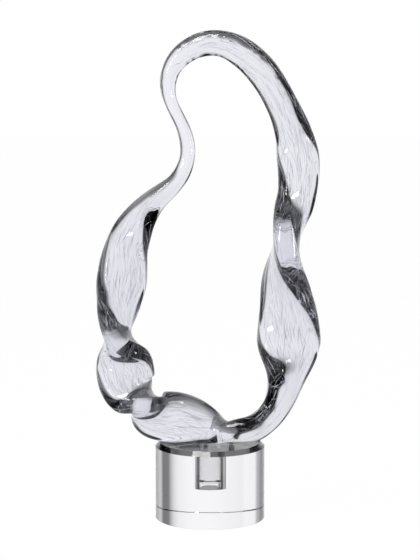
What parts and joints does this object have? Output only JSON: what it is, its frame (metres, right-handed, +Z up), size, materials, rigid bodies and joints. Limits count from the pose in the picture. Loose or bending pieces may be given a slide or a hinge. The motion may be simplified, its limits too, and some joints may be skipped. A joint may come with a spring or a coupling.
{
  "type": "glass wave sculpture",
  "caption": "Free-standing ornament: a closed loop of flattened and twisted clear glass, faintly lavender and streaked with drawn bubbles, on a glass peg that turns and lifts out of a round crystal block.",
  "frame": {"origin": "centre of the block's underside", "axes": "+Z up along the block's axis, +X to the right in the picture, -Y towards the camera"},
  "size_m": [0.2456, 0.12, 0.534],
  "materials": {
    "crystal": "polished clear crystal",
    "clear_glass": "fire-polished clear glass with a faint lavender tint"
  },
  "bodies": {
    "base": {"base_block": "crystal"},
    "peg": {"peg": "clear_glass"},
    "sculpture": {"glass_loop": "clear_glass"}
  },
  "joints": [
    {"name": "lift", "type": "slide", "parent": "base", "child": "peg", "axis": [0, 0, 1], "range_m": [0, 0.06]},
    {"name": "swivel", "type": "hinge", "parent": "peg", "child": "sculpture", "pos_m": [0, 0, 0.085], "axis": [0, 0, 1], "continuous": true}
  ]
}
